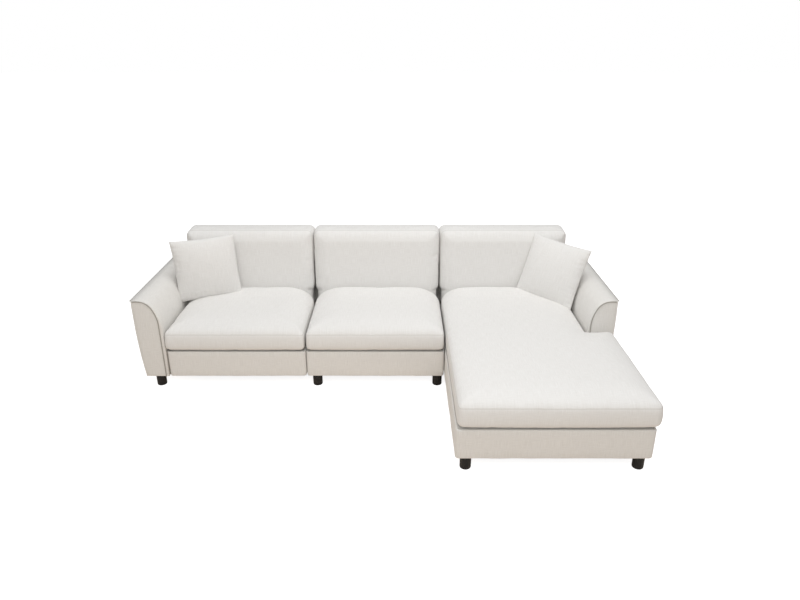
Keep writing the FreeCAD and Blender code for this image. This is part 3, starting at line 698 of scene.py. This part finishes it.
# Throw pillows, by side: centre, turn about Z, lean back, roll
PILLOWS = {
    "left": ((-1.078, 0.414, 0.590), 16.1, 7.5, -2.5),
    "right": ((1.112, 0.410, 0.5720), -36.2, 19.6, 6.8),
}

# Half a pillow's side, its thickness, the cells along a side, and how far its folds run in, as a
# share of that half
PILLOW_HALF = 0.203
PILLOW_THICKNESS = 0.112
PILLOW_CELLS = 46
RIM_REACH = 0.14


def pillow_point(u, v, way):
    """A knife-edge pillow: drawn-in sides, pointed ears and a full middle."""
    x = PILLOW_HALF * u * (1 - 0.045 * (1 - v * v) * abs(u) ** 2)
    z = PILLOW_HALF * v * (1 - 0.045 * (1 - u * u) * abs(v) ** 2)
    full = ((1 - u * u) * (1 - v * v)) ** 0.62
    return Vector((x, way * PILLOW_THICKNESS / 2 * 1.02 * full, z))


# How strongly each pillow puckers at its left, right, lower and upper rim
PUCKERS = {"left": (1.0, 0.3, 0.9, 0.2), "right": (0.2, 1.0, 0.3, 0.3)}


def crease(along, inwards, seed):
    """A row of narrow grooves, from 0 between them to 1 in the middle of each."""
    return max(0.0, 1 - abs(noise.noise(Vector((along * 6.5, inwards * 1.2, seed)))) / 0.24)


def rim_share(distance):
    """How strong the folds are at a distance from the rim: none on it, most beside it."""
    return math.exp(-distance / RIM_REACH) * min(1.0, distance / 0.04)


def pucker_rims(piece, side):
    """Short folds that run in from the sewn rims."""
    left, right, lower, upper = PUCKERS[side]
    for vert in piece.data.vertices:
        u = vert.co.x / PILLOW_HALF
        v = vert.co.z / PILLOW_HALF
        from_side = 1 - abs(u)
        from_end = 1 - abs(v)
        beside = rim_share(from_side) * (left if u < 0 else right)
        across = rim_share(from_end) * (lower if v < 0 else upper)
        fold = beside * crease(v, u, 3.0) * (1 - v**6) + across * crease(u, v, 7.0) * (1 - u**6)
        depth = min(0.013 * fold, 0.6 * abs(vert.co.y))
        vert.co.y -= math.copysign(depth, vert.co.y)
        vert.co.y += 0.006 * (beside + across) * noise.noise(Vector((u * 7.0, v * 7.0, 1.0)))


def throw_pillow(side):
    """Two square panels sewn together at the rim and stuffed."""
    bm = bmesh.new()
    for way in (-1, 1):
        bmesh.ops.create_grid(bm, x_segments=PILLOW_CELLS, y_segments=PILLOW_CELLS, size=1.0)
        flat = [v for v in bm.verts if v.co.z == 0]
        bmesh.ops.translate(bm, vec=(0, 0, way * 0.5), verts=flat)
    layer = bm.loops.layers.uv.new("cloth")
    for face in bm.faces:
        for loop in face.loops:
            loop[layer].uv = (loop.vert.co.x * PILLOW_HALF, loop.vert.co.y * PILLOW_HALF)
    mark_seams(bm, [edge for edge in bm.edges if len(edge.link_faces) == 1])
    for vert in bm.verts:
        way = 1 if vert.co.z > 0 else -1
        vert.co = pillow_point(vert.co.x, vert.co.y, way)
    bmesh.ops.remove_doubles(bm, verts=bm.verts, dist=0.0008)
    bmesh.ops.recalc_face_normals(bm, faces=bm.faces)
    name = side + "_pillow_cover"
    node = side + "_throw_pillow"
    piece = make_piece(name, bm, LINEN, side + "_pillow", [node])
    reach = PILLOW_HALF + 0.002
    limits = ((-reach, -0.060, -reach), (reach, 0.060, reach))
    swell(piece, 2.2, 10.0, 0.04, limits, (0.003, 0.005, 0.003))
    pucker_rims(piece, side)
    centre, turn, lean, roll = PILLOWS[side]
    place = Matrix.Translation(centre)
    for angle, axis in ((turn, "Z"), (-lean, "X"), (roll, "Y")):
        place = place @ Matrix.Rotation(math.radians(angle), 4, axis)
    piece.data.transform(place)
    subdivide_once(piece)
    return piece


# Arms


def circle_centre(first, second, third):
    """The centre of the circle through three points of a flat section."""
    ax, az = first
    bx, bz = second
    cx, cz = third
    twice = 2 * (ax * (bz - cz) + bx * (cz - az) + cx * (az - bz))
    a2, b2, c2 = ax * ax + az * az, bx * bx + bz * bz, cx * cx + cz * cz
    x = (a2 * (bz - cz) + b2 * (cz - az) + c2 * (az - bz)) / twice
    z = (a2 * (cx - bx) + b2 * (ax - cx) + c2 * (bx - ax)) / twice
    return x, z


def straight_run(bm, vert, x, z):
    made = bmesh.ops.extrude_vert_indiv(bm, verts=[vert])
    end = made["verts"][0]
    end.co.x = x
    end.co.z = z
    return end


def round_run(bm, vert, centre, angle, steps):
    place = (centre[0], vert.co.y, centre[1])
    made = bmesh.ops.spin(
        bm, geom=[vert], cent=place, axis=(0, 1, 0), dvec=(0, 0, 0), angle=angle, steps=steps
    )
    return [item for item in made["geom_last"] if isinstance(item, bmesh.types.BMVert)][0]


def arm_outline(bm, y, inner=0.0, over=0.0, outer=0.0, under=0.0):
    """The arm's section from the inner foot, over the roll and down the flared outer side.

    inner, over, outer and under draw it in from its four sides.
    """
    radius = ARM_ROLL_RADIUS - inner / 2
    top = ARM_HEIGHT - over
    bend = ARM_ROLL_BEND
    joint_u = ARM_ROLL_CENTRE - radius * math.sin(bend)
    lower = (joint_u - inner) / (1 - math.sin(bend))
    joint_z = top - radius * (1 - math.cos(bend))
    start_z = joint_z - lower * math.cos(bend)
    start = bm.verts.new((ARM_INNER + inner, y, BASE_BOTTOM + under))
    last = straight_run(bm, start, ARM_INNER + inner, start_z)
    last = round_run(bm, last, (ARM_INNER + inner + lower, start_z), math.pi / 2 - bend, 7)
    last = round_run(bm, last, (ARM_INNER + ARM_ROLL_CENTRE, top - radius), bend, 9)
    corner = ARM_INNER + ARM_WIDTH + ARM_FLARE - outer
    last = straight_run(bm, last, corner, top)
    foot = ARM_INNER + ARM_WIDTH - outer
    middle = (ARM_INNER + ARM_WIDTH + ARM_BELLY - outer, 0.300)
    bottom = BASE_BOTTOM + under
    centre = circle_centre((corner, top), middle, (foot, bottom))
    first_way = math.atan2(top - centre[1], corner - centre[0])
    last_way = math.atan2(bottom - centre[1], foot - centre[0])
    round_run(bm, last, centre, first_way - last_way, 10)


def close_outline(bm):
    """Join the run's two ends and fill it."""
    bm.verts.ensure_lookup_table()
    ends = [v for v in bm.verts if len(v.link_edges) == 1]
    bm.edges.new(ends)
    made = bmesh.ops.contextual_create(bm, geom=bm.edges[:])
    return made["faces"][0]


def face_side(bm, side):
    """Turn a right-hand shape into a left-hand one where the side asks for it."""
    if side == "left":
        bmesh.ops.scale(bm, vec=(-1, 1, 1), verts=bm.verts)
    bmesh.ops.recalc_face_normals(bm, faces=bm.faces)


def soften(bm, amount, scale, seed):
    """Let the cloth lie a little unevenly."""
    bm.normal_update()
    shift = Vector((seed, seed * 2.7, seed * 1.3))
    for vert in bm.verts:
        vert.co += vert.normal * noise.noise(vert.co * scale + shift) * amount


def run_map(bm):
    """Map the arm's sides by their way round the section, and its ends flat."""
    layer = bm.loops.layers.uv.new("cloth")
    run = bm.verts.layers.float["run"]
    for face in bm.faces:
        flat = abs(face.normal.y) > 0.7
        for loop in face.loops:
            x, y, z = loop.vert.co
            loop[layer].uv = (x, z) if flat else (y, loop.vert[run])


def measure_run(bm):
    """Give each point of the outline its distance along it."""
    layer = bm.verts.layers.float.new("run")
    bm.verts.ensure_lookup_table()
    length = 0.0
    previous = None
    for vert in bm.verts:
        if previous is not None:
            length += (vert.co - previous).length
        vert[layer] = length
        previous = vert.co.copy()


def edges_across(bm, axis):
    """The edges whose two ends are level on an axis."""
    return [e for e in bm.edges if abs(e.verts[0].co[axis] - e.verts[1].co[axis]) < 1e-5]


def bevel_edges(bm, edges, offset, segments, clamp=True):
    bmesh.ops.bevel(
        bm,
        geom=edges,
        offset=offset,
        segments=segments,
        profile=0.5,
        affect="EDGES",
        material=-1,
        clamp_overlap=clamp,
    )


# The rings that the arm's cover is cut into along its length
ARM_RINGS = 26


def arm_cover(side):
    """The arm's upholstery: soft front and rear rims, and cloth that lies a little unevenly."""
    bm = bmesh.new()
    arm_outline(bm, ARM_FRONT)
    measure_run(bm)
    push_out(bm, [close_outline(bm)], (0, REAR - ARM_FRONT, 0))
    bevel_edges(bm, edges_across(bm, 1), 0.005, 3)
    for i in range(1, ARM_RINGS):
        y = ARM_FRONT + (REAR - ARM_FRONT) * i / ARM_RINGS
        geometry = bm.verts[:] + bm.edges[:] + bm.faces[:]
        bmesh.ops.bisect_plane(bm, geom=geometry, plane_co=(0, y, 0), plane_no=(0, 1, 0))
    bm.normal_update()
    run_map(bm)
    face_side(bm, side)
    soften(bm, 0.0016, 9.0, 3.0 if side == "left" else 8.0)
    node = side + "_arm_cover"
    return make_piece(side + "_arm_upholstery", bm, LINEN_UPHOLSTERY, ARM_BODY[side], [node])


def arm_facing(side):
    """The arm's front panel, padded so that it stands a little proud of the welt's line."""
    bm = bmesh.new()
    arm_outline(bm, ARM_FRONT + 0.001, 0.016, 0.006, 0.010, 0.010)
    face = close_outline(bm)
    if face.normal.y > 0:
        face.normal_flip()
    panel = [face]
    for width, depth in ((0.0015, 0.0016), (0.003, 0.0010), (0.006, 0.0006)):
        bmesh.ops.inset_region(
            bm, faces=panel, thickness=width, depth=depth, use_boundary=True, use_even_offset=True
        )
    map_cloth(bm)
    face_side(bm, side)
    return make_piece(
        side + "_arm_facing", bm, LINEN_UPHOLSTERY, ARM_BODY[side], [side + "_arm_front_panel"]
    )


def cord_through(name, points, radius):
    """A round welt along a run of points, made into a mesh."""
    curve = bpy.data.curves.new(name, "CURVE")
    curve.dimensions = "3D"
    curve.bevel_depth = radius
    curve.bevel_resolution = 3
    curve.use_fill_caps = True
    line = curve.splines.new("POLY")
    line.points.add(len(points) - 1)
    for spot, point in zip(line.points, points):
        spot.co = (point[0], point[1], point[2], 1)
    holder = bpy.data.objects.new(name, curve)
    bpy.context.scene.collection.objects.link(holder)
    mesh = evaluated_mesh(holder)
    bpy.data.objects.remove(holder)
    return mesh


# Where the cord along an arm's outer top edge runs: outwards and upwards
TOP_CORD = (1.3950, 0.5570)


def arm_welts(side):
    """The welt up the facing's inner edge and over the roll, and the cord along the outer top edge."""
    bm = bmesh.new()
    arm_outline(bm, ARM_FRONT - 0.0025, 0.016, 0.006, 0.010, 0.0)
    bm.verts.ensure_lookup_table()
    points = [v.co.copy() for v in bm.verts]
    bm.free()
    way = -1 if side == "left" else 1
    last = max(range(len(points)), key=lambda i: points[i].x + points[i].z)
    front = [(way * p.x, p.y, p.z) for p in points[: last + 1]]
    front_mesh = cord_through(side + "_front_welt", front, PIPING_RADIUS)
    node = side + "_arm_piping"
    make_piece(side + "_front_welt", front_mesh, PIPING, ARM_BODY[side], [node])
    length = REAR - ARM_FRONT
    out, up = TOP_CORD
    top = [(way * out, ARM_FRONT + length * i / 30, up) for i in range(31)]
    top_mesh = cord_through(side + "_top_welt", top, PIPING_RADIUS)
    make_piece(side + "_top_welt", top_mesh, PIPING, ARM_BODY[side], [node])


# Bases, backs and feet


def base_plan(module):
    """The base's outline. The chaise's is an L, whose front part passes in front of the arm."""
    left, right = MODULE_SPAN[module]
    if module == "chaise":
        front = [
            (left, CHAISE_FRONT),
            (CHAISE_RIGHT, CHAISE_FRONT),
            (CHAISE_RIGHT, CHAISE_STEP),
            (right, CHAISE_STEP),
        ]
    else:
        front = [(left, SEAT_FRONT), (right, SEAT_FRONT)]
    return front + [(right, REAR), (left, REAR)]


def base_cover(module):
    """The base's upholstered walls: soft upright corners and a rounded lower edge."""
    bm = bmesh.new()
    verts = [bm.verts.new((x, y, BASE_BOTTOM)) for x, y in base_plan(module)]
    bm.faces.new(verts)
    bmesh.ops.bevel(
        bm, geom=verts, offset=0.018, segments=4, profile=0.5, affect="VERTICES", material=-1
    )
    inner = bm.faces[:]
    bmesh.ops.inset_region(
        bm, faces=inner, thickness=0.010, use_boundary=True, use_even_offset=True
    )
    bmesh.ops.delete(bm, geom=inner, context="FACES")
    push_out(bm, bm.faces[:], (0, 0, BASE_TOP - BASE_BOTTOM))
    xs = [v.co.x for v in bm.verts]
    ys = [v.co.y for v in bm.verts]
    lowest = (min(xs), min(ys), BASE_BOTTOM)
    highest = (max(xs), max(ys), BASE_TOP)
    bevel_edges(bm, [e for e in edges_across(bm, 2) if outer_rim(e)], 0.0045, 3)
    cut_grid(bm, lowest, highest, (0.040, 0.040, 0.040))
    map_cloth(bm)
    soften(bm, 0.0014, 11.0, 5.0 + len(module))
    return make_piece(
        module + "_base_upholstery", bm, LINEN_UPHOLSTERY, BODY[module], [module + "_base_cover"]
    )


def outer_rim(edge):
    """Whether a rim edge belongs to a wall's outer or inner side, and not to its thickness."""
    flat = [abs(face.normal.z) > 0.9 for face in edge.link_faces]
    return len(flat) == 2 and flat[0] != flat[1]


def back_cover(module):
    """The back's upholstered shell: a leaning front, an upright rear and soft edges."""
    left, right = MODULE_SPAN[module]
    rise = BACK_TOP - BASE_TOP
    bm = bmesh.new()
    section = [
        (BACK_FOOT, BASE_TOP + 0.0003),
        (REAR, BASE_TOP + 0.0003),
        (REAR, BACK_TOP),
        (BACK_FOOT + rise * math.tan(BACK_RECLINE), BACK_TOP),
    ]
    face = bm.faces.new([bm.verts.new((left, y, z)) for y, z in section])
    push_out(bm, [face], (right - left, 0, 0))
    sides = edges_across(bm, 0)
    long_tops = [
        e for e in bm.edges if e not in sides and min(v.co.z for v in e.verts) > BACK_TOP - 1e-4
    ]
    bevel_edges(bm, long_tops, 0.016, 4, False)
    bevel_edges(bm, edges_across(bm, 0), 0.004, 2)
    cut_grid(bm, (left, BACK_FOOT, BASE_TOP), (right, REAR, BACK_TOP), (0.035, 0.2, 0.035))
    map_cloth(bm)
    soften(bm, 0.0014, 10.0, 20.0 + len(module))
    return make_piece(
        module + "_back_upholstery", bm, LINEN_UPHOLSTERY, BODY[module], [module + "_back_cover"]
    )


def deck_pad(module):
    """The padded deck under the cushions: it sinks a little between its stitched edges."""
    node = module + "_deck"
    low, high = [list(corner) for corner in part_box(node)]
    notch = (1.221, -0.064) if module == "chaise" else None
    bm = plan_block(plan_corners(low, high, notch), low[2], high[2] - 0.0005)
    cut_grid(bm, low, high, (0.030, 0.030, 0.006))
    map_cloth(bm)
    mark_seams(bm, seam_edges(bm))
    for vert in bm.verts:
        x, y, z = vert.co
        if z > low[2] + 0.008:
            inside = max(0.0, edge_distance(x, y, low, high, notch))
            sink = 0.0045 * min(1.0, inside / 0.20) + 0.003 * max(0.0, 1 - inside / 0.02)
            vert.co.z -= sink + 0.0008 * noise.noise(Vector((x * 12.0, y * 12.0, 2.0)))
    piece = make_piece(module + "_deck_pad", bm, DECK, BODY[module], [node])
    subdivide_once(piece)
    return piece


def dust_sheet(module):
    """The black cloth stapled under the base, with its corners cut off round the feet."""
    node = module + "_dust_cover"
    low, high = [list(corner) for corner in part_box(node)]
    notch = (1.196, -0.089) if module == "chaise" else None
    cut = 0.101
    corners = plan_corners(low, high, notch, cut)
    bm = plan_block(corners, low[2] + 0.0002, high[2] - 0.0003)
    area = sum(face.calc_area() for face in bm.faces if face.normal.z > 0.5)
    cut_grid(bm, low, high, (0.050, 0.050, 0.01))
    bmesh.ops.recalc_face_normals(bm, faces=bm.faces)
    piece = make_piece(module + "_dust_sheet", bm, DUST, BODY[module], [node])
    return piece


# Where the feet stand
FEET = {
    "left": [(-1.297, -0.010), (-1.297, 0.830)],
    "middle": [(-0.351, -0.010), (0.371, -0.010), (-0.351, 0.830), (0.371, 0.830)],
    "chaise": [(0.467, -0.818), (1.315, -0.818), (0.467, 0.830), (1.297, 0.830)],
}


# A foot's half section: distance from its axis, and height
FOOT_PROFILE = [
    (0.0, 0.0),
    (0.0235, 0.0),
    (0.0265, 0.0012),
    (0.0280, 0.0045),
    (0.0285, 0.0600),
    (0.0285, 0.0660),
    (0.0270, 0.0677),
    (0.0, 0.0677),
]


def foot(bm, x, y):
    """One turned foot: a rounded tip, a slight taper and a rim under the base."""
    verts = [bm.verts.new((x + across, y, up)) for across, up in FOOT_PROFILE]
    edges = [bm.edges.new(pair) for pair in zip(verts, verts[1:])]
    bmesh.ops.spin(
        bm,
        geom=verts + edges,
        cent=(x, y, 0),
        axis=(0, 0, 1),
        dvec=(0, 0, 0),
        angle=2 * math.pi,
        steps=32,
        use_merge=True,
    )


def feet(module):
    bm = bmesh.new()
    for x, y in FEET[module]:
        foot(bm, x, y)
    bmesh.ops.remove_doubles(bm, verts=bm.verts, dist=1e-5)
    bmesh.ops.recalc_face_normals(bm, faces=bm.faces)
    node = module + "_feet"
    return make_piece(module + "_turned_feet", bm, PLASTIC, BODY[module], [node])


for module in MODULES:
    seat_cushion(module)
    back_cushion(module)
    base_cover(module)
    back_cover(module)
    deck_pad(module)
    dust_sheet(module)
    feet(module)

for side in ("left", "right"):
    throw_pillow(side)
    arm_cover(side)
    arm_facing(side)
    arm_welts(side)


# Materials of the pieces that the frame already has right

NODE_FINISH = {
    "feet": PLASTIC,
    "base_rails": TIMBER,
    "corner_blocks": TIMBER,
    "springs": WIRE,
    "spring_clips": ZINC,
    "deck": DECK,
    "dust_cover": DUST,
    "back_frame": TIMBER,
    "back_webbing": WEBBING,
    "coupling_straps": PAINTED,
    "coupling_plates": PAINTED,
    "arm_frame": TIMBER,
    "arm_bolts": ZINC,
}


def finish_nodes():
    for name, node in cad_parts.items():
        finish = next((m for part, m in NODE_FINISH.items() if name.endswith(part)), LINEN)
        node.data.materials.clear()
        node.data.materials.append(finish)


finish_nodes()


# Floor, light and camera


# What the floor throws back onto the sofa, and what the camera sees of it
FLOOR_WARM = (0.84, 0.74, 0.64, 1)
FLOOR_PALE = (0.80, 0.80, 0.80, 1)
FLOOR_GLOW = 0.86
SKY_STRENGTH = 0.42
WHITE = (1, 1, 1, 1)


def floor_material():
    """White to the camera, warm to the light that falls on it, and clear from below."""
    material = bpy.data.materials.new("studio_white")
    material.use_nodes = True
    tree = material.node_tree
    tree.nodes.clear()
    out = tree.nodes.new("ShaderNodeOutputMaterial")
    diffuse = tree.nodes.new("ShaderNodeBsdfDiffuse")
    diffuse.inputs["Color"].default_value = FLOOR_WARM
    pale = tree.nodes.new("ShaderNodeBsdfDiffuse")
    pale.inputs["Color"].default_value = FLOOR_PALE
    glow = tree.nodes.new("ShaderNodeEmission")
    glow.inputs["Strength"].default_value = FLOOR_GLOW
    seen = tree.nodes.new("ShaderNodeLightPath")
    both = tree.nodes.new("ShaderNodeAddShader")
    pick = tree.nodes.new("ShaderNodeMixShader")
    tree.links.new(pale.outputs[0], both.inputs[0])
    tree.links.new(glow.outputs[0], both.inputs[1])
    tree.links.new(seen.outputs["Is Camera Ray"], pick.inputs[0])
    tree.links.new(diffuse.outputs[0], pick.inputs[1])
    tree.links.new(both.outputs[0], pick.inputs[2])
    side = tree.nodes.new("ShaderNodeNewGeometry")
    clear = tree.nodes.new("ShaderNodeBsdfTransparent")
    upper = tree.nodes.new("ShaderNodeMixShader")
    tree.links.new(side.outputs["Backfacing"], upper.inputs[0])
    tree.links.new(pick.outputs[0], upper.inputs[1])
    tree.links.new(clear.outputs[0], upper.inputs[2])
    tree.links.new(upper.outputs[0], out.inputs["Surface"])
    return material


def studio_floor():
    bpy.ops.mesh.primitive_plane_add(size=60.0, location=(0, 0, -0.0005))
    floor = bpy.context.object
    floor.name = "studio_floor"
    floor.data.materials.append(floor_material())


def studio_sky():
    """Soft light from all round, seen as plain white by the camera."""
    world = bpy.data.worlds.new("studio_sky")
    bpy.context.scene.world = world
    world.use_nodes = True
    sky = world.node_tree
    background = sky.nodes["Background"]
    background.inputs["Color"].default_value = WHITE
    background.inputs["Strength"].default_value = SKY_STRENGTH
    white = sky.nodes.new("ShaderNodeBackground")
    white.inputs["Color"].default_value = WHITE
    path = sky.nodes.new("ShaderNodeLightPath")
    choose = sky.nodes.new("ShaderNodeMixShader")
    sky.links.new(path.outputs["Is Camera Ray"], choose.inputs[0])
    sky.links.new(background.outputs[0], choose.inputs[1])
    sky.links.new(white.outputs[0], choose.inputs[2])
    sky.links.new(choose.outputs[0], sky.nodes["World Output"].inputs["Surface"])


def soft_lamp(name, place, target, size, power):
    lamp = bpy.data.lights.new(name, "AREA")
    lamp.shape = "SQUARE"
    lamp.size = size
    lamp.energy = power
    item = bpy.data.objects.new(name, lamp)
    bpy.context.scene.collection.objects.link(item)
    item.location = place
    item.rotation_euler = (Vector(target) - Vector(place)).to_track_quat("-Z", "Y").to_euler()


# The camera that took the photograph: its place, its angle down in degrees, and its lens
CAMERA_PLACE = (0.1466, -3.424, 1.983)
CAMERA_DOWN = 22.77
CAMERA_LENS = 28.97


def camera():
    eye = bpy.data.cameras.new("photograph_view")
    eye.lens = CAMERA_LENS
    eye.sensor_width = 36.0
    eye.sensor_fit = "HORIZONTAL"
    item = bpy.data.objects.new("photograph_view", eye)
    bpy.context.scene.collection.objects.link(item)
    item.location = CAMERA_PLACE
    item.rotation_euler = (math.radians(90 - CAMERA_DOWN), 0, 0)
    bpy.context.scene.camera = item


studio_floor()
studio_sky()
soft_lamp("top_light", (0.4, -0.7, 4.2), (0.2, 0.0, 0.3), 3.6, 92.0)
soft_lamp("front_light", (0.0, -3.5, 3.3), (0.0, 0.1, 0.4), 2.4, 41.0)
camera()
bpy.context.scene.view_settings.view_transform = "Standard"
